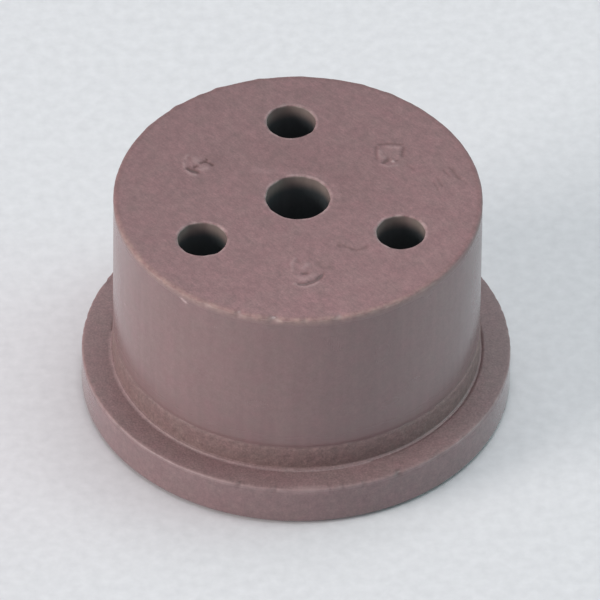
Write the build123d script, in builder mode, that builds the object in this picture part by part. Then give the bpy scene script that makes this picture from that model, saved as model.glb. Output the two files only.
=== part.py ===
# Moulded rubber stopper for the neck of a small tank or bottle.
# One piece: a straight plug on a thin round flange, with a screw hole down the middle and a ring of
# tube holes around it. It stands on its flange, plug end up, with the origin under its middle.
# Lengths are millimetres.
import os

from build123d import *

# Plug
plug_diameter = 22.0
plug_height = 11.88

# Flange
flange_projection = 1.85
flange_thickness = 2.75
flange_base_rounding = 0.45
flange_edge_bevel = 0.1

# Holes
screw_hole_diameter = 3.8
tube_hole_diameter = 2.9
tube_hole_count = 3
pitch_circle_diameter = 13.65
first_tube_hole_angle = 90
hole_mouth_bevel = 0.1

# Relief round the foot of the plug: a smooth neck, a small ledge, and a rough band below it
relief_run = 2.6
neck_height = 1.55
neck_depth = 0.28
ledge_width = 0.12
ledge_drop = 0.12
foot_lip_width = 0.16
foot_lip_crest = 0.06
foot_lip_height = 0.09

# Worn rim of the plug's free end, with a low flash along it
rim_wear_height = 0.15
rim_wear_width = 0.12
rim_flash_width = 0.1
rim_flash_height = 0.05

# Gate marks, midway between the tube holes
gate_mark_diameter = 1.6
gate_mark_depth = 0.1
gate_stub_diameter = 0.8
gate_stub_height = 0.14

# Places that follow from the sizes
plug_radius = plug_diameter / 2
flange_radius = plug_radius + flange_projection
pitch_radius = pitch_circle_diameter / 2
seat_level = flange_thickness
neck_level = seat_level + neck_height
wall_foot_level = neck_level + relief_run
end_level = seat_level + plug_height
neck_radius = plug_radius - neck_depth
band_radius = neck_radius + ledge_width
band_level = neck_level - ledge_drop
first_gate_mark_angle = first_tube_hole_angle + 180 / tube_hole_count

with BuildPart() as stopper:
    # Half section through the middle, from the base up the outside and back to the axis
    with BuildSketch(Plane.XZ):
        with BuildLine():
            base = Line((0, 0), (flange_radius - flange_base_rounding, 0))
            base_round = TangentArc(base @ 1, (flange_radius, flange_base_rounding), tangent=base % 1)
            flange_wall = Line(base_round @ 1, (flange_radius, seat_level - flange_edge_bevel))
            seat_bevel = Line(flange_wall @ 1, (flange_radius - flange_edge_bevel, seat_level))
            seat = Line(seat_bevel @ 1, (plug_radius + foot_lip_width, seat_level))
            lip_crest = (plug_radius + foot_lip_crest, seat_level + foot_lip_height)
            lip_outside = Line(seat @ 1, lip_crest)
            lip_inside = Line(lip_outside @ 1, (plug_radius, seat_level))
            rough_band = TangentArc((band_radius, band_level), lip_inside @ 1, tangent=(0, -1))
            ledge = Line(rough_band @ 0, (neck_radius, neck_level))
            relief = TangentArc((plug_radius, wall_foot_level), ledge @ 1, tangent=(0, -1))
            wall = Line(relief @ 0, (plug_radius, end_level - rim_wear_height))
            rim_crest = (plug_radius - rim_wear_width, end_level + rim_flash_height)
            rim_outside = Line(wall @ 1, rim_crest)
            rim_inside = Line(rim_outside @ 1, (rim_crest[0] - rim_flash_width, end_level))
            end_face = Line(rim_inside @ 1, (0, end_level))
            Line(end_face @ 1, base @ 0)
        make_face()
    revolve(axis=Axis.Z)

    # Screw hole down the middle, right through, with a small bevel at both mouths
    Hole(screw_hole_diameter / 2)
    chamfer(stopper.edges(Select.LAST).filter_by(GeomType.CIRCLE), hole_mouth_bevel)

    # Tube holes around it, made in the same way
    with PolarLocations(pitch_radius, tube_hole_count, start_angle=first_tube_hole_angle):
        Hole(tube_hole_diameter / 2)
    chamfer(stopper.edges(Select.LAST).filter_by(GeomType.CIRCLE), hole_mouth_bevel)

    # Gate marks: a shallow round recess with a low torn stub left standing in it
    with BuildSketch(Plane.XY.offset(end_level)):
        with PolarLocations(pitch_radius, tube_hole_count, start_angle=first_gate_mark_angle):
            Circle(gate_mark_diameter / 2)
    extrude(amount=-gate_mark_depth, mode=Mode.SUBTRACT)
    with Locations(Plane.XY.offset(end_level - gate_mark_depth)):
        with PolarLocations(pitch_radius, tube_hole_count, start_angle=first_gate_mark_angle):
            Cone(
                gate_stub_diameter / 2,
                gate_stub_diameter / 4,
                gate_stub_height,
                align=(Align.CENTER, Align.CENTER, Align.MIN),
            )

stopper.part.label = "stopper"
os.makedirs("parts", exist_ok=True)
export_step(stopper.part, "parts/stopper.step")
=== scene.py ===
import math

import bmesh
import bpy
from mathutils import Matrix, Vector, noise


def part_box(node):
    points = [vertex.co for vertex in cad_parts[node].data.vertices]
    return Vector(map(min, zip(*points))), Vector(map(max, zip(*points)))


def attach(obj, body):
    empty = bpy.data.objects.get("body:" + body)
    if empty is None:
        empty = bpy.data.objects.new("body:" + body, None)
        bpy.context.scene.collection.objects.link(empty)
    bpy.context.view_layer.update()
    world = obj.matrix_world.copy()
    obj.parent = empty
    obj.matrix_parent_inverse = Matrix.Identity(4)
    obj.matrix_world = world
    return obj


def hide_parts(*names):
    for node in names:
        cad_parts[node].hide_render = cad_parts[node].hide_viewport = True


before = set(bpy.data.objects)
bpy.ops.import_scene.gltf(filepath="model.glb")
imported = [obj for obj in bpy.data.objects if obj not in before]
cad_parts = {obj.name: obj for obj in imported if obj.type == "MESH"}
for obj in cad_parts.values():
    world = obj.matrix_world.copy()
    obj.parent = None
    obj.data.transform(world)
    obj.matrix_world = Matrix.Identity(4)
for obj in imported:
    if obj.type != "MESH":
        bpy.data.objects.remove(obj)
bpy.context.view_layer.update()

# Stopper
# One moulding of soft mauve-brown rubber, pressed hot in a two-part mould: a straight plug on a thin
# flange, with a screw hole and three tube holes right through it. The mould leaves a ragged rim at
# the plug's free end, three torn gate marks between the holes and a rough band round its foot.
MM = 0.001
high_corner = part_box("stopper")[1]
flange_radius = high_corner[0] / MM
stopper_height = high_corner[2] / MM
plug_radius = 11.0
seat_level = 2.75
base_rounding = 0.45
seat_edge_rounding = 0.11
rim_flash_height = 0.05
end_level = stopper_height - rim_flash_height
rim_fall = 0.17
rim_width = 0.22
screw_hole_radius = 1.9
tube_hole_radius = 1.45
tube_circle_radius = 6.825
tube_hole_angles = (90, 210, 330)
mouth_rounding = 0.13
lip_crest_radius = plug_radius + 0.05
lip_height = 0.09
band_foot = (11.02, seat_level + lip_height)
band_top = (11.02, 4.26)
neck = (10.93, 4.36)
crease_top = (10.98, 4.66)
wall_foot = (plug_radius, 6.9)
fine_wall_height = 0.75  # of the wall's top, whose rows are close enough for the worn rim
marked_ring = (5.2, 10.3)  # radii between which the end face's rows are close enough for its marks
spin_steps = 512
core_steps = 96


def straight(start, end, steps):
    """Points of a straight run, without its first one."""
    a, b = Vector(start), Vector(end)
    return [tuple(a.lerp(b, i / steps)) for i in range(1, steps + 1)]


def rounded(centre, radius, start_angle, end_angle, steps):
    """Points of a round edge, without its first one, with angles in degrees."""
    points = []
    for i in range(1, steps + 1):
        angle = math.radians(start_angle + (end_angle - start_angle) * i / steps)
        points.append((centre[0] + radius * math.cos(angle), centre[1] + radius * math.sin(angle)))
    return points


def swept(start, end, steps):
    """Points of a gentle S that is upright at both ends, without its first one."""
    points = []
    for i in range(1, steps + 1):
        t = i / steps
        lean = t * t * (3 - 2 * t)
        points.append((start[0] + (end[0] - start[0]) * lean, start[1] + (end[1] - start[1]) * t))
    return points


def half_section():
    """Closed outline of the moulding, from the screw hole's lower mouth outwards and back."""
    inner = screw_hole_radius + mouth_rounding
    base_edge = flange_radius - base_rounding
    seat_edge = flange_radius - seat_edge_rounding
    points = [(inner, 0)]
    points += straight(points[-1], (base_edge, 0), 8)
    points += rounded((base_edge, base_rounding), base_rounding, -90, 0, 6)
    points += straight(points[-1], (flange_radius, seat_level - seat_edge_rounding), 7)
    points += rounded((seat_edge, seat_level - seat_edge_rounding), seat_edge_rounding, 0, 90, 3)
    points += straight(points[-1], (lip_crest_radius + lip_height, seat_level), 9)
    points += rounded((lip_crest_radius, seat_level), lip_height, 0, 90, 4)
    points += straight(points[-1], band_foot, 1)
    points += straight(points[-1], band_top, 14)
    points += straight(points[-1], neck, 3)
    points += swept(neck, crease_top, 4)
    points += swept(crease_top, wall_foot, 12)
    points += straight(points[-1], (plug_radius, end_level - fine_wall_height), 8)
    points += straight(points[-1], (plug_radius, end_level - rim_fall), 7)
    for i in range(1, 9):
        turn = math.radians(90 * i / 8)
        inwards, down = rim_width * (1 - math.cos(turn)), rim_fall * (1 - math.sin(turn))
        points.append((plug_radius - inwards, end_level - down))
    points += straight(points[-1], (marked_ring[1], end_level), 4)
    points += straight(points[-1], (marked_ring[0], end_level), 56)
    points += straight(points[-1], (inner, end_level), 11)
    points += rounded((inner, end_level - mouth_rounding), mouth_rounding, 90, 180, 4)
    points += straight(points[-1], (screw_hole_radius, mouth_rounding), 6)
    points += rounded((inner, mouth_rounding), mouth_rounding, 180, 270, 4)[:-1]
    return points


def spun(outline, steps, closed):
    """A round shell spun from an outline of radius and height."""
    shell = bmesh.new()
    verts = [shell.verts.new((radius, 0, height)) for radius, height in outline]
    edges = [shell.edges.new(pair) for pair in zip(verts, verts[1:])]
    if closed:
        edges.append(shell.edges.new((verts[-1], verts[0])))
    bmesh.ops.spin(
        shell,
        geom=verts + edges,
        cent=(0, 0, 0),
        axis=(0, 0, 1),
        angle=math.tau,
        steps=steps,
        use_merge=True,
    )
    bmesh.ops.remove_doubles(shell, verts=shell.verts, dist=1e-5)
    bmesh.ops.recalc_face_normals(shell, faces=shell.faces)
    return shell


def ramp(value, start, end):
    """Smooth step from 0 at start to 1 at end."""
    t = min(1, max(0, (value - start) / (end - start)))
    return t * t * (3 - 2 * t)


def ripple(point, size, seed):
    """Even noise of about -1 to 1 with lumps of the given size in millimetres."""
    return noise.noise(Vector(point) / size + Vector((seed, -seed, 0.37 * seed)))


moulding = spun(half_section(), spin_steps, True)

# Torn gate marks and scratches on the end face, as lines of points in millimetres, each with its half
# width, its height and its tone: below 0 for torn or dirty rubber and for painted shade in grooves,
# gashes and pits, and above 0 for burnished rubber and for painted highlights on raised edges
end_marks = (
    # Gate mark at the back left: a gash and tears, darkened with painted shade, inside a raised arc
    # with a painted highlight
    (((-6.38, 2.89), (-6.11, 2.7), (-5.84, 2.6)), 0.12, -0.09, -1.2),
    (((-5.98, 3.03), (-5.84, 3.1)), 0.09, -0.06, -1.1),
    (((-5.6, 3.36), (-5.41, 3.46)), 0.09, -0.05, -1.1),
    (((-5.24, 3.68), (-5.27, 3.42), (-5.18, 3.36)), 0.08, -0.04, -0.9),
    (((-5.08, 3.31), (-4.94, 3.17)), 0.1, -0.05, -1),
    (((-6.35, 4.1), (-6.5, 3.8)), 0.1, 0.02, 0.25),
    (((-6.62, 3.4), (-6.6, 2.95)), 0.1, 0.03, 0.35),
    (((-6.5, 2.7), (-6.3, 2.42), (-6.0, 2.3)), 0.1, 0.04, 0.45),
    (((-5.95, 3.45), (-5.6, 3.1)), 0.3, 0.02, 0.12),
    (((-6.3, 3.9), (-6.22, 3.7)), 0.09, -0.03, -0.4),
    (((-6.1, 3.75), (-5.85, 3.55)), 0.22, 0.03, 0.2),
    (((-5.75, 2.75), (-5.27, 2.87)), 0.16, 0.03, 0.3),
    (((-4.91, 3.93), (-4.56, 3.73)), 0.32, 0, -0.15),
    # Gate mark at the back right: a low disc with a fine groove round it, a pit and a burr, with
    # painted shade in the groove and the pit and a painted highlight on the burr and the disc's edge
    (((4.96, 4.37), (4.9, 3.83), (4.9, 3.22)), 0.07, -0.05, -0.5),
    (((5.12, 4.49), (5.69, 4.55), (6.46, 4.43)), 0.07, -0.05, -0.55),
    (((5.29, 2.86), (5.57, 3.12)), 0.11, -0.08, -0.9),
    (((5.84, 2.91), (5.87, 2.93)), 0.09, 0.04, 1),
    (((6.01, 2.98), (6.16, 3.03)), 0.07, -0.05, -0.6),
    (((6.56, 4.11), (6.46, 3.75), (6.46, 3.39)), 0.09, -0.06, -0.6),
    (((5.64, 4.21), (6.41, 4.12)), 0.12, 0.03, 0.25),
    (((5.08, 3.91), (5.08, 3.46), (5.34, 3.23)), 0.13, 0.03, 0.3),
    (((5.13, 2.7), (5.53, 2.45), (6.07, 2.56)), 0.1, 0.035, 0.3),
    (((5.49, 3.67), (6.02, 3.64)), 0.45, 0.01, 0.08),
    # Gate mark at the front: a raised disc with a torn crescent under its near edge, darkened with
    # painted shade, and a painted highlight round the disc
    (((-0.41, -7.75), (-0.04, -7.74), (0.33, -7.59), (0.66, -7.4), (1.0, -6.98)), 0.11, -0.1, -0.95),
    (((-0.71, -7.67), (-0.37, -7.94), (0.03, -8.0), (0.49, -7.82), (0.73, -7.64)), 0.08, 0.03, 0.45),
    (((-0.12, -6.79), (0.12, -6.78)), 0.11, -0.07, -0.9),
    (((-0.47, -7.1), (-0.1, -7.34), (0.39, -7.1)), 0.22, 0.04, 0.25),
    (((-0.54, -5.45), (-0.76, -5.93), (-0.72, -6.46)), 0.11, 0.03, 0.25),
    (((-0.35, -5.6), (-0.28, -5.75)), 0.08, -0.03, -0.4),
    (((-0.09, -6.32), (0.16, -6.06)), 0.18, 0.03, 0.25),
    (((0.88, -6.01), (1.16, -6.35), (1.52, -6.31)), 0.25, -0.01, -0.2),
    # Scratches
    (((2.06, -4.33), (2.58, -4.58), (3.16, -4.87), (3.52, -4.76), (3.83, -4.59)), 0.11, -0.035, -0.5),
    (((6.7, 2.52), (7.03, 2.12)), 0.1, -0.03, -0.3),
    (((8.79, 2.01), (9.11, 1.46)), 0.07, -0.03, -0.35),
    (((9.11, 2.27), (9.49, 1.8)), 0.07, -0.03, -0.4),
    (((9.31, 1.81), (9.76, 1.25)), 0.07, -0.03, -0.4),
    (((9.52, 1.35), (10.08, 0.78)), 0.07, -0.03, -0.35),
    (((8.39, 1.32), (8.64, 0.58)), 0.07, -0.03, -0.35),
    (((8.12, 0.97), (8.38, 0.24)), 0.07, -0.03, -0.3),
    (((-2.3, 2.58), (-1.77, 2.37), (-1.16, 2.52)), 0.35, 0, 0.2),
    # Darker patch between the screw hole and the hole at the back
    (((-0.8, 3.5), (3.2, 1.4)), 2.4, 0, -0.12),
)


def distance_to_line(x, y, points):
    """Shortest distance from a place to a line of points."""
    nearest = 99
    for (ax, ay), (bx, by) in zip(points, points[1:]):
        run = (bx - ax, by - ay)
        t = ((x - ax) * run[0] + (y - ay) * run[1]) / (run[0] ** 2 + run[1] ** 2)
        t = min(1, max(0, t))
        nearest = min(nearest, math.hypot(x - ax - t * run[0], y - ay - t * run[1]))
    return nearest


longest_run = 1.6  # how far a mark is followed from its first point


def end_mark_effect(x, y):
    """Height and tone that the end face's marks give a place on it, both with ragged edges."""
    height = tone = 0
    for points, half_width, rise, shade in end_marks:
        reach = 2.5 * half_width
        past_start = max(abs(x - points[0][0]), abs(y - points[0][1]))
        if past_start > reach + longest_run:
            continue
        nearest = distance_to_line(x, y, points)
        if nearest < reach:
            ragged = nearest * (1 + 0.5 * ripple((x, y, 0), 0.22, 61))
            share = math.exp(-((ragged / half_width) ** 2))
            height += share * rise
            tone += share * shade
    return height, tone


# Damage to the rim and to the flange's edge: angle in degrees, half width and depth in millimetres
rim_nicks = (
    (-101, 0.35, 0.12), (-112.3, 0.18, 0.1), (-80.4, 0.3, 0.08), (-91, 0.2, 0.06), (-123, 0.25, 0.06),
)
rim_burrs = (
    (128.4, 0.3, 0.05), (112.5, 0.35, 0.055), (98.9, 0.3, 0.045), (85.9, 0.5, 0.03), (66.1, 0.4, 0.035),
    (56.3, 0.35, 0.04), (141, 0.25, 0.03), (119, 0.25, 0.03), (-131.5, 0.2, 0.06), (-139.3, 0.14, 0.06),
    (-106, 0.16, 0.04),
)
flange_nicks = (
    (-109, 0.14, 0.1), (-99.2, 0.12, 0.07), (-84.5, 0.1, 0.06), (-81, 0.1, 0.06), (-75, 0.12, 0.05),
    (-65, 0.2, 0.09), (-52, 0.4, 0.04), (-149.4, 0.12, 0.05), (57, 0.3, 0.08), (150, 0.2, 0.06),
)


def damage(x, y, radius, spots):
    """Depth at one place round an edge of the nicks or burrs in a list."""
    here = math.degrees(math.atan2(y, x))
    depth = 0
    for angle, half_width, deepest in spots:
        along = math.radians((here - angle + 180) % 360 - 180) * radius
        if abs(along) < 3 * half_width:
            depth += deepest * math.exp(-((along / half_width) ** 2))
    return depth


# How far the rubber strays from its true form, in millimetres
end_face_waviness = 0.01
tallest_mark = 0.045
rim_raggedness = 0.03
least_rim_wear = 0.35  # the share of that raggedness at the sides and back
flash_raggedness = 0.02
tallest_flash = 0.04
mouth_raggedness = 0.05
band_lumps = 0.035
band_grit = 0.03
ledge_wear = 0.04
ledge_waviness = 0.06
lip_gaps = 0.03
lip_sunk_elsewhere = 0.05
lip_sunk_at_right = 0.025
flange_edge_wear = 0.05
skin_waviness = 0.008

rim_inner_radius = plug_radius - rim_width
for vert in moulding.verts:
    x, y, z = vert.co
    radius = math.hypot(x, y)
    outward = Vector((x, y, 0)) / radius
    around = Vector((x, y, 0)) * (plug_radius / radius)
    shift = Vector((0, 0, 0))
    # End face: slightly uneven, with the gate marks and scratches
    if z > end_level - 0.01 and radius < rim_inner_radius:
        edge_fade = 1 - ramp(radius, rim_inner_radius - 0.5, rim_inner_radius)
        shift.z += edge_fade * end_face_waviness * ripple((x, y, 0), 1.4, 3)
        shift.z += edge_fade * min(tallest_mark, end_mark_effect(x, y)[0])
    # Rim: worn and ragged, more so at the front than at the sides
    rim = ramp(z, end_level - rim_fall - 0.25, end_level - 0.5 * rim_fall)
    rim *= ramp(radius, plug_radius - 0.5, plug_radius - 0.2)
    if rim > 0:
        wear = least_rim_wear + (1 - least_rim_wear) * ramp(-y / radius, 0.35, 0.85)
        coarse = ripple(around, 1.1, 21)
        fine = ripple((*around.xy, 2 * z), 0.3, 22)
        burr = damage(x, y, radius, rim_burrs)
        nick = damage(x, y, radius, rim_nicks)
        shift += outward * rim * (wear * rim_raggedness * (coarse + fine) + burr - nick)
        flash = wear * flash_raggedness * (coarse + fine) + 0.4 * burr - nick
        shift.z += rim * min(tallest_flash, flash)
    # Screw hole's mouth: slightly ragged
    if radius < screw_hole_radius + 0.4 and z > end_level - 0.3:
        shift += outward * mouth_raggedness * ripple((x, y, 0), 0.5, 71)
    # Rough band, with its ledge uneven and worn away at the front
    band = ramp(z, seat_level + 0.1, seat_level + 0.3) * (1 - ramp(z, neck[1] - 0.05, neck[1] + 0.15))
    if band > 0 and radius > plug_radius - 1:
        shift += outward * band * band_lumps * ripple((x, y, z), 0.4, 31)
        shift += outward * band * band_grit * ripple((x, y, z), 0.2, 32)
    on_ledge = neck[0] - 0.03 < radius < band_top[0] + 0.03
    if on_ledge and band_top[1] - 0.4 < z < neck[1] - 0.02:
        worn_front = ramp(-y / radius, 0.8, 0.97) * ramp(z, band_top[1] - 0.4, band_top[1])
        shift -= outward * ledge_wear * worn_front * ramp(radius, neck[0], band_top[0])
    if abs(radius - plug_radius) < 0.3 and abs(z - neck[1]) < 0.2:
        shift.z += ledge_waviness * ripple(around, 0.8, 33)
    # Fine ridge at the band's foot, tallest at the front left
    if seat_level + 0.01 < z < seat_level + lip_height + 0.01 and radius > plug_radius - 0.02:
        sunk_share = 1 - ramp(-y - 0.8 * x, 4, 11)
        shift.z -= lip_gaps * max(0, ripple(around, 0.5, 34))
        shift.z -= lip_sunk_elsewhere * sunk_share + lip_sunk_at_right * ramp(x, 8, 10.5)
    # Flange's upper edge: small nicks
    edge_start = seat_edge_rounding + 0.02
    if radius > flange_radius - edge_start and z > seat_level - edge_start:
        nick = flange_edge_wear * max(0, ripple(around, 0.3, 41)) + damage(x, y, radius, flange_nicks)
        shift -= outward * nick
        shift.z -= 0.5 * nick
    # Flange top and walls: the soft unevenness of moulded rubber
    if radius > screw_hole_radius + 0.3 and 0.5 < z < end_level - rim_fall:
        shift -= outward * skin_waviness * (1 + ripple((x, y, z), 2.2, 51))
    vert.co += shift

# Tube holes, cut with spun cores whose ends flare out to round the mouths
core_overshoot = 0.2
flared_radius = tube_hole_radius + mouth_rounding
core_outline = [(0, -core_overshoot), (flared_radius, -core_overshoot), (flared_radius, 0)]
core_outline += rounded((flared_radius, mouth_rounding), mouth_rounding, 270, 180, 4)
core_outline += straight(core_outline[-1], (tube_hole_radius, end_level - mouth_rounding), 10)
core_outline += rounded((flared_radius, end_level - mouth_rounding), mouth_rounding, 180, 90, 4)
core_outline += [(flared_radius, end_level + core_overshoot), (0, end_level + core_overshoot)]


def mesh_object(shell, name):
    """A scene object from a mesh in millimetres, turned to metres."""
    bmesh.ops.scale(shell, vec=(MM, MM, MM), verts=shell.verts)
    mesh = bpy.data.meshes.new(name)
    shell.to_mesh(mesh)
    shell.free()
    piece = bpy.data.objects.new(name, mesh)
    bpy.context.collection.objects.link(piece)
    return piece


cores = bmesh.new()
core_mesh = bpy.data.meshes.new("core")
one_core = spun(core_outline, core_steps, False)
one_core.to_mesh(core_mesh)
one_core.free()
tube_hole_axes = []
for angle in tube_hole_angles:
    turn = math.radians(angle)
    hole_axis = Vector((tube_circle_radius * math.cos(turn), tube_circle_radius * math.sin(turn), 0))
    tube_hole_axes.append(hole_axis)
    first_vert = len(cores.verts)
    cores.from_mesh(core_mesh)
    cores.verts.ensure_lookup_table()
    for vert in cores.verts[first_vert:]:
        if vert.co.z > end_level - 0.3 and vert.co.xy.length > 0.5:
            from_axis = vert.co.xy.to_3d()
            lump = ripple(from_axis + hole_axis, 0.5, 72)
            vert.co += from_axis.normalized() * mouth_raggedness * lump
    bmesh.ops.translate(cores, vec=hole_axis, verts=cores.verts[first_vert:])
core_object = mesh_object(cores, "tube_cores")
stopper = mesh_object(moulding, "rubber_stopper")
cut = stopper.modifiers.new("tube_holes", "BOOLEAN")
cut.operation = "DIFFERENCE"
cut.solver = "EXACT"
cut.object = core_object
depsgraph = bpy.context.evaluated_depsgraph_get()
drilled = bpy.data.meshes.new_from_object(stopper.evaluated_get(depsgraph))
stopper.modifiers.remove(cut)
stopper.data = drilled
bpy.data.objects.remove(core_object)

# The cut leaves a few faces of no width along the mouths, which are closed up
sliver_width = 0.0002
cleaned = bmesh.new()
cleaned.from_mesh(drilled)
bmesh.ops.dissolve_degenerate(cleaned, dist=sliver_width * MM, edges=cleaned.edges)
cleaned.to_mesh(drilled)
cleaned.free()
drilled.shade_smooth()

# The rubber's tone, below 0 for torn rubber and painted shade and above 0 for burnished rubber and
# painted highlights, kept on the mesh for its material: the marks of the end face, a pale fleck on the
# rim, the nicks of the flange's edge and its rubbed front
rim_fleck = ((-25.45, 14.17), (-25.05, 13.99))  # a line of places round the plug and heights
fleck_half_width = 0.06
fleck_tone = 1.6
tone_per_nick_depth = -9
rubbed_tone = 0.35
rubbed_half_width = 1.3
wear_and_painted_light_tone = drilled.attributes.new("wear_and_painted_light_tone", "FLOAT", "POINT")
for vert in drilled.vertices:
    x, y, z = vert.co / MM
    radius = math.hypot(x, y)
    tone = 0
    if z > end_level - 0.3 and screw_hole_radius + 0.5 < radius < rim_inner_radius:
        tone = end_mark_effect(x, y)[1]
    if radius > plug_radius - 0.3 and z > end_level - 0.7:
        fleck = distance_to_line(math.atan2(y, x) * plug_radius, z, rim_fleck)
        tone += fleck_tone * math.exp(-((fleck / fleck_half_width) ** 2))
    if radius > flange_radius - 0.35 and seat_level - 0.6 < z < seat_level + 0.01:
        # Nicks: darkened as torn rubber and as painted shade in them
        depth = damage(x, y, radius, flange_nicks)
        tone += tone_per_nick_depth * depth * ramp(z, seat_level - 0.25, seat_level - 0.1)
        if y < 0:
            rubbed_share = math.exp(-((x / rubbed_half_width) ** 2))
            tone += rubbed_tone * rubbed_share * ramp(z, seat_level - 0.5, seat_level - 0.2)
    wear_and_painted_light_tone.data[vert.index].value = tone


def from_hex(code):
    """Linear colour from an sRGB hex value."""
    channels = [int(code[i : i + 2], 16) / 255 for i in (1, 3, 5)]
    linear = [c / 12.92 if c <= 0.04045 else ((c + 0.055) / 1.055) ** 2.4 for c in channels]
    return (*linear, 1)


def add_node(tree, kind, inputs=None, output=0, **settings):
    """One output of a new node, whose inputs are set to values or linked to other outputs."""
    node = tree.nodes.new("ShaderNode" + kind)
    for name, value in settings.items():
        setattr(node, name, value)
    for name, value in (inputs or {}).items():
        if isinstance(value, bpy.types.NodeSocket):
            tree.links.new(value, node.inputs[name])
        else:
            node.inputs[name].default_value = value
    return node.outputs[output]


# Moulded rubber: soft nitrile-like rubber, pressed hot. Its walls copy the mould's satin steel and
# mirror a little of the floor, while its end face, flange top and foot band stay dull and grainy.
rubber = bpy.data.materials.new("moulded_rubber_satin_and_matt")
rubber.use_nodes = True
tree = rubber.node_tree
shader = tree.nodes["Principled BSDF"]

# How far a place on the moulding is to the right, how high, and how far forward, with a lean to the
# left (below 0) or to the right
place = add_node(tree, "TexCoord", output="Object")
to_right, height = [add_node(tree, "SeparateXYZ", {0: place}, output=axis) for axis in "XZ"]
to_front, to_worn_side, to_front_left, toward_painted_light_side = [
    add_node(tree, "VectorMath", {0: place, 1: (lean, -1, 0)}, output="Value", operation="DOT_PRODUCT")
    for lean in (0, -0.35, -0.8, 0.25)
]

# How far it is from the axis, and past the edge of the nearest hole, seen from above
flat_place = add_node(tree, "VectorMath", {0: place, 1: (1, 1, 0)}, operation="MULTIPLY")
axis_distance = add_node(tree, "VectorMath", {0: flat_place}, output="Value", operation="LENGTH")
past_hole_edge = add_node(
    tree, "Math", {0: axis_distance, 1: screw_hole_radius * MM}, operation="SUBTRACT"
)
for hole_axis in tube_hole_axes:
    away = add_node(
        tree, "VectorMath", {0: flat_place, 1: hole_axis * MM}, output="Value", operation="DISTANCE"
    )
    past_this_edge = add_node(tree, "Math", {0: away, 1: tube_hole_radius * MM}, operation="SUBTRACT")
    past_hole_edge = add_node(
        tree, "Math", {0: past_hole_edge, 1: past_this_edge}, operation="MINIMUM"
    )

# Masks that go smoothly from 0 at the first place to 1 at the second, both in millimetres
flange_corner = flange_radius - seat_edge_rounding
masks = {}
for name, measure, start, end in (
    ("end_face", height, end_level - 0.12, end_level - 0.03),
    ("above_seat", height, seat_level + 0.05, seat_level + 0.15),
    ("above_neck", height, neck[1] - 0.02, neck[1] + 0.12),
    ("seat_and_up", height, seat_level - 0.06, seat_level - 0.01),
    ("below_seat", height, seat_level - 0.01, seat_level - 0.06),
    ("outside_plug", axis_distance, plug_radius - 0.05, plug_radius + 0.05),
    ("inside_plug", axis_distance, plug_radius + 0.05, plug_radius - 0.05),
    ("rim_height", height, end_level - rim_fall - 0.4, end_level - 0.5 * rim_fall),
    ("rim_ring", axis_distance, rim_inner_radius - 0.2, rim_inner_radius + 0.12),
    ("worn_side", to_worn_side, 2, 9),
    ("round_holes", past_hole_edge, 0.26, 0.08),
    ("mouth_height", height, end_level - 0.14, end_level - 0.08),
    ("bores", past_hole_edge, 0.05, 0.01),
    ("deep_down", height, end_level - 0.35, end_level - 1.2),
    ("past_lip", axis_distance, lip_crest_radius + lip_height, lip_crest_radius + lip_height + 0.05),
    ("lip_foot", height, seat_level + 0.01, seat_level + 0.05),
    ("lip_top", height, seat_level + 0.2, seat_level + 0.1),
    ("lip_side", to_front_left, 4, 13),
    ("flange_edge_height", height, seat_level - seat_edge_rounding - 0.25, seat_level - 0.06),
    ("flange_edge_ring", axis_distance, flange_corner - 0.06, flange_corner),
    ("flange_front", to_front, 11.5, 12.7),
    ("right_side", to_right, 7, 13),
    ("low_wall", height, 6.5, 4.3),
):
    span = {"Value": measure, "From Min": start * MM, "From Max": end * MM}
    masks[name] = add_node(tree, "MapRange", span, interpolation_type="SMOOTHSTEP")
for name, first, operation, second in (
    ("seat_face", "seat_and_up", "MULTIPLY", "outside_plug"),
    ("flange_wall", "below_seat", "MULTIPLY", "outside_plug"),
    ("band", "above_seat", "SUBTRACT", "above_neck"),
    ("foot", "seat_face", "MAXIMUM", "band"),
    ("matt_faces", "end_face", "MAXIMUM", "foot"),
    ("plug_foot", "low_wall", "MULTIPLY", "inside_plug"),
    ("rim", "rim_height", "MULTIPLY", "rim_ring"),
    ("mouths", "round_holes", "MULTIPLY", "mouth_height"),
    ("bore_painted_shade", "bores", "MULTIPLY", "deep_down"),
    ("lip", "outside_plug", "SUBTRACT", "past_lip"),
    ("lip", "lip", "MULTIPLY", "lip_foot"),
    ("lip", "lip", "MULTIPLY", "lip_top"),
    ("lip", "lip", "MULTIPLY", "lip_side"),
    ("flange_edge", "flange_edge_height", "MULTIPLY", "flange_edge_ring"),
    ("sharp_edges", "lip", "MAXIMUM", "flange_edge"),
):
    masks[name] = add_node(tree, "Math", {0: masks[first], 1: masks[second]}, operation=operation)

# Patterns: the size of the lumps in millimetres, their detail, and how they are drawn out and turned.
# The rubber's own grains, of about 0.05 mm, can't show, so the finest ones here are 0.12 mm.
even = (1, 1, 1)
lumps = {}
for name, size, detail, stretch, turn in (
    ("speckle", 0.12, 2, even, 0),
    ("strokes", 0.14, 2, (3.5, 1, 1), -52),
    ("mottle", 0.4, 2, even, 0),
    ("clouds", 1.8, 2, even, 0),
    ("streaks", 0.5, 2, (1, 1, 12), 0),
    ("pepper", 0.13, 1, even, 0),
    ("tint", 1.1, 2, even, 0),
    ("pits", 0.2, 3, even, 0),
    ("rim_wear", 0.3, 2, even, 0),
    ("edge_wear", 0.5, 2, even, 0),
    ("grain_relief", 0.14, 2, even, 0),
    ("stroke_relief", 0.15, 2, (5, 1, 1), -52),
):
    drawn_out = {"Vector": place, "Rotation": (0, 0, math.radians(turn)), "Scale": stretch}
    mapped = add_node(tree, "Mapping", drawn_out, vector_type="TEXTURE")
    noise_inputs = {"Vector": mapped, "Scale": 1 / (size * MM), "Detail": detail}
    lumps[name] = add_node(tree, "TexNoise", noise_inputs, output="Fac")

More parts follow.
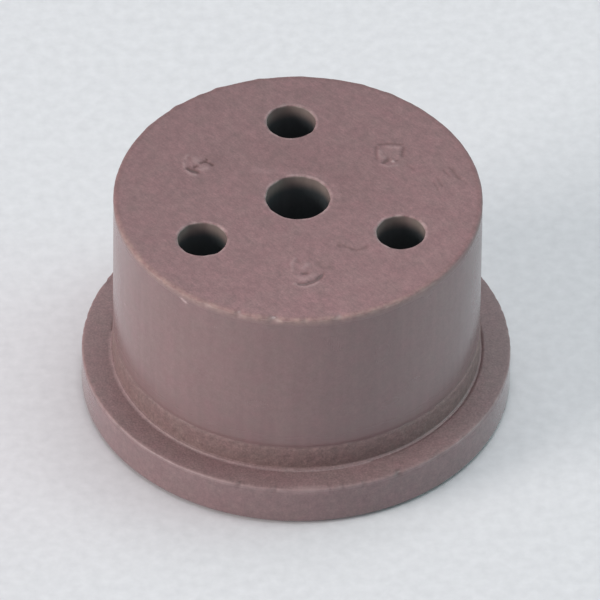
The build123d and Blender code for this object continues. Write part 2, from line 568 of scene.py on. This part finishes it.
# The same patterns spread over a range of shade or of wear
shades = {}
for name, pattern, lowest, highest in (
    ("speckle", "speckle", 0.88, 1.12),
    ("strokes", "strokes", 0.91, 1.09),
    ("mottle", "mottle", 0.89, 1.11),
    ("clouds", "clouds", 0.97, 1.03),
    ("streaks", "streaks", 0.94, 1.06),
    ("pepper", "pepper", 0.87, 1.13),
    ("rim_wear", "rim_wear", 0.05, 0.42),
    ("mouth_wear", "edge_wear", -0.05, 0.5),
    # The ridge's wear is also a painted highlight
    ("lip_wear_and_painted_highlight", "edge_wear", 0.02, 0.26),
    ("flange_edge_wear", "edge_wear", 0.02, 0.25),
):
    spread = {"From Min": 0.3, "From Max": 0.7, "To Min": lowest, "To Max": highest}
    shades[name] = add_node(tree, "MapRange", {"Value": lumps[pattern], **spread})

# Colours: mauve-brown, browner on the rough band, greyer in the bores with painted light near their
# mouths and painted shade deep down, painted shade on the seat's right side, and lighter where it is
# burnished and where a highlight is painted
colour_mix = {"output": 2, "data_type": "RGBA"}
wall_colour = from_hex("#7F6769")
seat_colour = from_hex("#846B6D")
painted_shade_seat_colour = from_hex("#715F61")
rim_colour = from_hex("#B2988F")
burnished_and_painted_highlight_colour = from_hex("#B59C9C")
torn_and_painted_shade_colour = from_hex("#46302F")
# Seat: painted shade, darker towards its right side
seat_colour_with_painted_shade = add_node(
    tree, "Mix", {0: masks["right_side"], 6: seat_colour, 7: painted_shade_seat_colour}, **colour_mix
)
colour = wall_colour
for area, own_colour in (
    ("flange_wall", from_hex("#836B6E")),
    ("end_face", from_hex("#7F6164")),
    ("seat_face", seat_colour_with_painted_shade),
    ("band", from_hex("#7B6363")),
    # Bores: paler near their mouths as painted light, darker deep down as painted shade
    ("bores", from_hex("#857876")),
    ("bore_painted_shade", from_hex("#4C5155")),
):
    colour = add_node(tree, "Mix", {0: masks[area], 6: colour, 7: own_colour}, **colour_mix)

# Grain: speckled and mottled on the dull faces, with fine strokes on the end face and pepper on the
# seat and band, and drawn out in faint upright streaks on the satin walls
grain = shades["speckle"]
for name in ("mottle", "clouds"):
    grain = add_node(tree, "Math", {0: grain, 1: shades[name]}, operation="MULTIPLY")
for area, name in (("end_face", "strokes"), ("foot", "pepper")):
    there = add_node(tree, "Mix", {0: masks[area], 2: 1.0, 3: shades[name]})
    grain = add_node(tree, "Math", {0: grain, 1: there}, operation="MULTIPLY")
flange_dullness = 0.85
dull_flange = add_node(
    tree, "Math", {0: masks["flange_wall"], 1: flange_dullness}, operation="MULTIPLY"
)
dull = add_node(tree, "Math", {0: masks["matt_faces"], 1: dull_flange}, operation="MAXIMUM")
grain = add_node(tree, "Mix", {0: dull, 2: shades["streaks"], 3: grain})
tint = add_node(
    tree, "Mix", {0: lumps["tint"], 6: from_hex("#F6FFF8"), 7: from_hex("#FFF2F4")}, **colour_mix
)
for shading in (grain, tint):
    shaded = {0: 1.0, 6: colour, 7: shading}
    colour = add_node(tree, "Mix", shaded, blend_type="MULTIPLY", **colour_mix)

# End face: painted light, paler towards the front and a little towards the right
fade = {"From Min": -plug_radius * MM, "From Max": plug_radius * MM, "To Min": 0.88, "To Max": 1.08}
end_face_painted_light = add_node(tree, "MapRange", {"Value": toward_painted_light_side, **fade})
shaded = {0: 1.0, 6: colour, 7: end_face_painted_light}
faded = add_node(tree, "Mix", shaded, blend_type="MULTIPLY", **colour_mix)
colour = add_node(tree, "Mix", {0: masks["end_face"], 6: colour, 7: faded}, **colour_mix)

# Band: painted shade, dark spots in the pits of the rough band
pit_painted_shade = 0.22
pit_limits = {"Value": lumps["pits"], "From Min": 0.5, "From Max": 0.68}
pits = add_node(tree, "MapRange", pit_limits, interpolation_type="SMOOTHSTEP")
band_pits = add_node(tree, "Math", {0: masks["band"], 1: pits}, operation="MULTIPLY")
pit_painted_shade_share = add_node(tree, "Math", {0: band_pits, 1: pit_painted_shade}, operation="MULTIPLY")
colour = add_node(tree, "Mix", {0: pit_painted_shade_share, 6: colour, 7: torn_and_painted_shade_colour}, **colour_mix)

# Rim: rubbed pale at the front
rim_paleness_behind = 0.03
worn_rim = add_node(
    tree,
    "Math",
    {0: masks["worn_side"], 1: shades["rim_wear"], 2: rim_paleness_behind},
    operation="MULTIPLY_ADD",
)
rim_share = add_node(tree, "Math", {0: masks["rim"], 1: worn_rim}, operation="MULTIPLY")
colour = add_node(tree, "Mix", {0: rim_share, 6: colour, 7: rim_colour}, **colour_mix)

# Burnished edges of the mouths, the ridge and the flange, with a painted highlight on the ridge at the
# front left, and torn spots; the tone on the mesh also carries painted shade and painted highlights
extra_wear_in_front = 0.03
burnish_and_highlight_per_tone = 0.8
tear_and_shade_per_tone = -0.75
darkest_tear_and_shade = 0.85
tone = add_node(tree, "Attribute", output="Fac", attribute_name="wear_and_painted_light_tone")
flange_edge_wear = add_node(
    tree,
    "Math",
    {0: masks["flange_front"], 1: extra_wear_in_front, 2: shades["flange_edge_wear"]},
    operation="MULTIPLY_ADD",
)
burnished_and_painted_highlight_share = add_node(tree, "Math", {0: tone, 1: burnish_and_highlight_per_tone}, operation="MULTIPLY")
for area, wear in (
    ("mouths", shades["mouth_wear"]),
    ("lip", shades["lip_wear_and_painted_highlight"]),
    ("flange_edge", flange_edge_wear),
):
    rubbed = add_node(tree, "Math", {0: masks[area], 1: wear}, operation="MULTIPLY")
    burnished_and_painted_highlight_share = add_node(tree, "Math", {0: burnished_and_painted_highlight_share, 1: rubbed}, operation="MAXIMUM")
burnished_and_painted_highlight_share = add_node(tree, "Math", {0: burnished_and_painted_highlight_share, 1: 1}, operation="MINIMUM")
colour = add_node(tree, "Mix", {0: burnished_and_painted_highlight_share, 6: colour, 7: burnished_and_painted_highlight_colour}, **colour_mix)
torn_and_painted_shade_share = add_node(tree, "Math", {0: tone, 1: tear_and_shade_per_tone}, operation="MULTIPLY")
torn_and_painted_shade_share = add_node(tree, "Math", {0: torn_and_painted_shade_share, 1: 0}, operation="MAXIMUM")
torn_and_painted_shade_share = add_node(tree, "Math", {0: torn_and_painted_shade_share, 1: darkest_tear_and_shade}, operation="MINIMUM")
colour = add_node(tree, "Mix", {0: torn_and_painted_shade_share, 6: colour, 7: torn_and_painted_shade_colour}, **colour_mix)
tree.links.new(colour, shader.inputs["Base Color"])

# Satin on the walls, duller at the plug's foot and on worn edges, and dull elsewhere
wall_roughness = 0.12
most_roughness = 0.9
roughness = wall_roughness
for area, more in (
    (masks["plug_foot"], 0.2),
    (masks["end_face"], 0.58),
    (masks["seat_face"], 0.35),
    (masks["band"], 0.4),
    (masks["rim"], 0.5),
    (masks["sharp_edges"], 0.35),
    (torn_and_painted_shade_share, 0.4),
):
    roughness = add_node(tree, "Math", {0: area, 1: more, 2: roughness}, operation="MULTIPLY_ADD")
roughness = add_node(tree, "Math", {0: roughness, 1: most_roughness}, operation="MINIMUM")
tree.links.new(roughness, shader.inputs["Roughness"])
shader.inputs["IOR"].default_value = 1.6  # plain rubber has 1.52, and the fillers in it raise that

# Relief: full on the dull faces, half on the flange's wall and very slight on the plug's wall
relief_depth = 0.04
flange_relief = 0.5
wall_relief = 0.12
half_flange = add_node(tree, "Math", {0: masks["flange_wall"], 1: flange_relief}, operation="MULTIPLY")
relief_share = add_node(tree, "Math", {0: masks["matt_faces"], 1: half_flange}, operation="MAXIMUM")
relief_share = add_node(tree, "Math", {0: relief_share, 1: wall_relief}, operation="ADD")
relief = add_node(
    tree,
    "Math",
    {0: masks["end_face"], 1: lumps["stroke_relief"], 2: lumps["grain_relief"]},
    operation="MULTIPLY_ADD",
)
relief = add_node(tree, "Math", {0: relief, 1: relief_share}, operation="MULTIPLY")
bump = add_node(tree, "Bump", {"Strength": 0.5, "Distance": relief_depth * MM, "Height": relief})
tree.links.new(bump, shader.inputs["Normal"])
stopper.data.materials.clear()
stopper.data.materials.append(rubber)

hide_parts("stopper")
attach(stopper, "root")

# Floor
# A sheet of pale grey paper that the stopper stands on, larger than any view of it takes in, with
# fibres that show as a soft mottle. It is laid flat and isn't part of the object.
floor_span = 1.6
fibre_size = 0.7
floor_shell = bmesh.new()
bmesh.ops.create_grid(floor_shell, x_segments=1, y_segments=1, size=floor_span / 2)
floor_mesh = bpy.data.meshes.new("floor")
floor_shell.to_mesh(floor_mesh)
floor_shell.free()
floor = bpy.data.objects.new("floor", floor_mesh)
bpy.context.collection.objects.link(floor)

# Uncoated paper: matt, faintly blue-grey, its darker and lighter patches a millimetre or so across
paper = bpy.data.materials.new("pale_grey_paper")
paper.use_nodes = True
paper_tree = paper.node_tree
paper_shader = paper_tree.nodes["Principled BSDF"]
paper_place = add_node(paper_tree, "TexCoord", output="Object")
fibre_inputs = {"Vector": paper_place, "Scale": 1 / (fibre_size * MM), "Detail": 4.0}
fibres = add_node(paper_tree, "TexNoise", fibre_inputs, output="Fac")
paper_colour = add_node(
    paper_tree, "Mix", {0: fibres, 6: from_hex("#CCCCD0"), 7: from_hex("#E2E2E6")}, **colour_mix
)
paper_tree.links.new(paper_colour, paper_shader.inputs["Base Color"])
paper_shader.inputs["Roughness"].default_value = 0.9
floor_mesh.materials.append(paper)

# Lights
# Soft studio light: a pale surround, a large lamp overhead, a smaller one low at the front left and a
# weak cool one low at the right.
surround_light = 0.365  # on the object, while the camera and the reflections see it at full strength
middle_height = 7
surround = bpy.data.worlds.new("pale_surround")
surround.use_nodes = True
surround_tree = surround.node_tree
surround_shader = surround_tree.nodes["Background"]
surround_shader.inputs["Color"].default_value = from_hex("#F0F2F6")
seen = add_node(surround_tree, "LightPath", output="Is Camera Ray")
mirrored = add_node(surround_tree, "LightPath", output="Is Glossy Ray")
shown = add_node(surround_tree, "Math", {0: seen, 1: mirrored}, operation="MAXIMUM")
strength = add_node(
    surround_tree, "MapRange", {"Value": shown, "To Min": surround_light, "To Max": 1.0}
)
surround_tree.links.new(strength, surround_shader.inputs["Strength"])
bpy.context.scene.world = surround
object_middle = Vector((0, 0, middle_height * MM))


def direction_to(azimuth, elevation):
    """Unit vector towards a place seen from the stopper, with azimuth 0 at its front, in degrees."""
    a, e = math.radians(azimuth), math.radians(elevation)
    return Vector((math.sin(a) * math.cos(e), -math.cos(a) * math.cos(e), math.sin(e)))


# Azimuth and elevation in degrees, distance and width in metres, power in watts, and colour
for name, azimuth, elevation, distance, width, power, hex_code in (
    ("overhead", 120, 81, 0.8, 0.6, 3.65, "#FFFFFF"),
    ("side", -71, 18, 0.7, 0.32, 3.75, "#FFF8F2"),
    ("fill", 95, 12, 0.7, 0.5, 1.8, "#B8FFFA"),
):
    lamp_data = bpy.data.lights.new(name, "AREA")
    lamp_data.size = width
    lamp_data.energy = power
    lamp_data.color = from_hex(hex_code)[:3]
    lamp = bpy.data.objects.new(name, lamp_data)
    toward_lamp = direction_to(azimuth, elevation)
    lamp.location = object_middle + toward_lamp * distance
    lamp.rotation_euler = toward_lamp.to_track_quat("Z", "Y").to_euler()
    bpy.context.collection.objects.link(lamp)

# Camera
# The photograph's view: from far off, 42 degrees above the floor, with a slight roll. The middle of
# the stopper lies on the given pixel.
photo_pixels = 600
view_azimuth = -4.0
view_elevation = 41.85
view_roll = 0.72
pixels_per_mm = 16.731
view_distance = 1.2
middle_pixel = (296.87, 292.75)
sensor_width = 36
camera_data = bpy.data.cameras.new("camera")
camera_data.sensor_width = sensor_width
camera_data.lens = view_distance / MM * pixels_per_mm * sensor_width / photo_pixels
camera = bpy.data.objects.new("camera", camera_data)
toward_camera = direction_to(view_azimuth, view_elevation)
roll = Matrix.Rotation(math.radians(view_roll), 3, "Z")
turned = toward_camera.to_track_quat("Z", "Y").to_matrix() @ roll
right, up = turned.col[0], turned.col[1]
aside = (photo_pixels / 2 - middle_pixel[0]) / pixels_per_mm * MM
above = (middle_pixel[1] - photo_pixels / 2) / pixels_per_mm * MM
aim = object_middle + right * aside + up * above
camera.location = aim + toward_camera * view_distance
camera.rotation_euler = turned.to_euler()
bpy.context.collection.objects.link(camera)
bpy.context.scene.camera = camera
bpy.context.scene.view_settings.view_transform = "Standard"
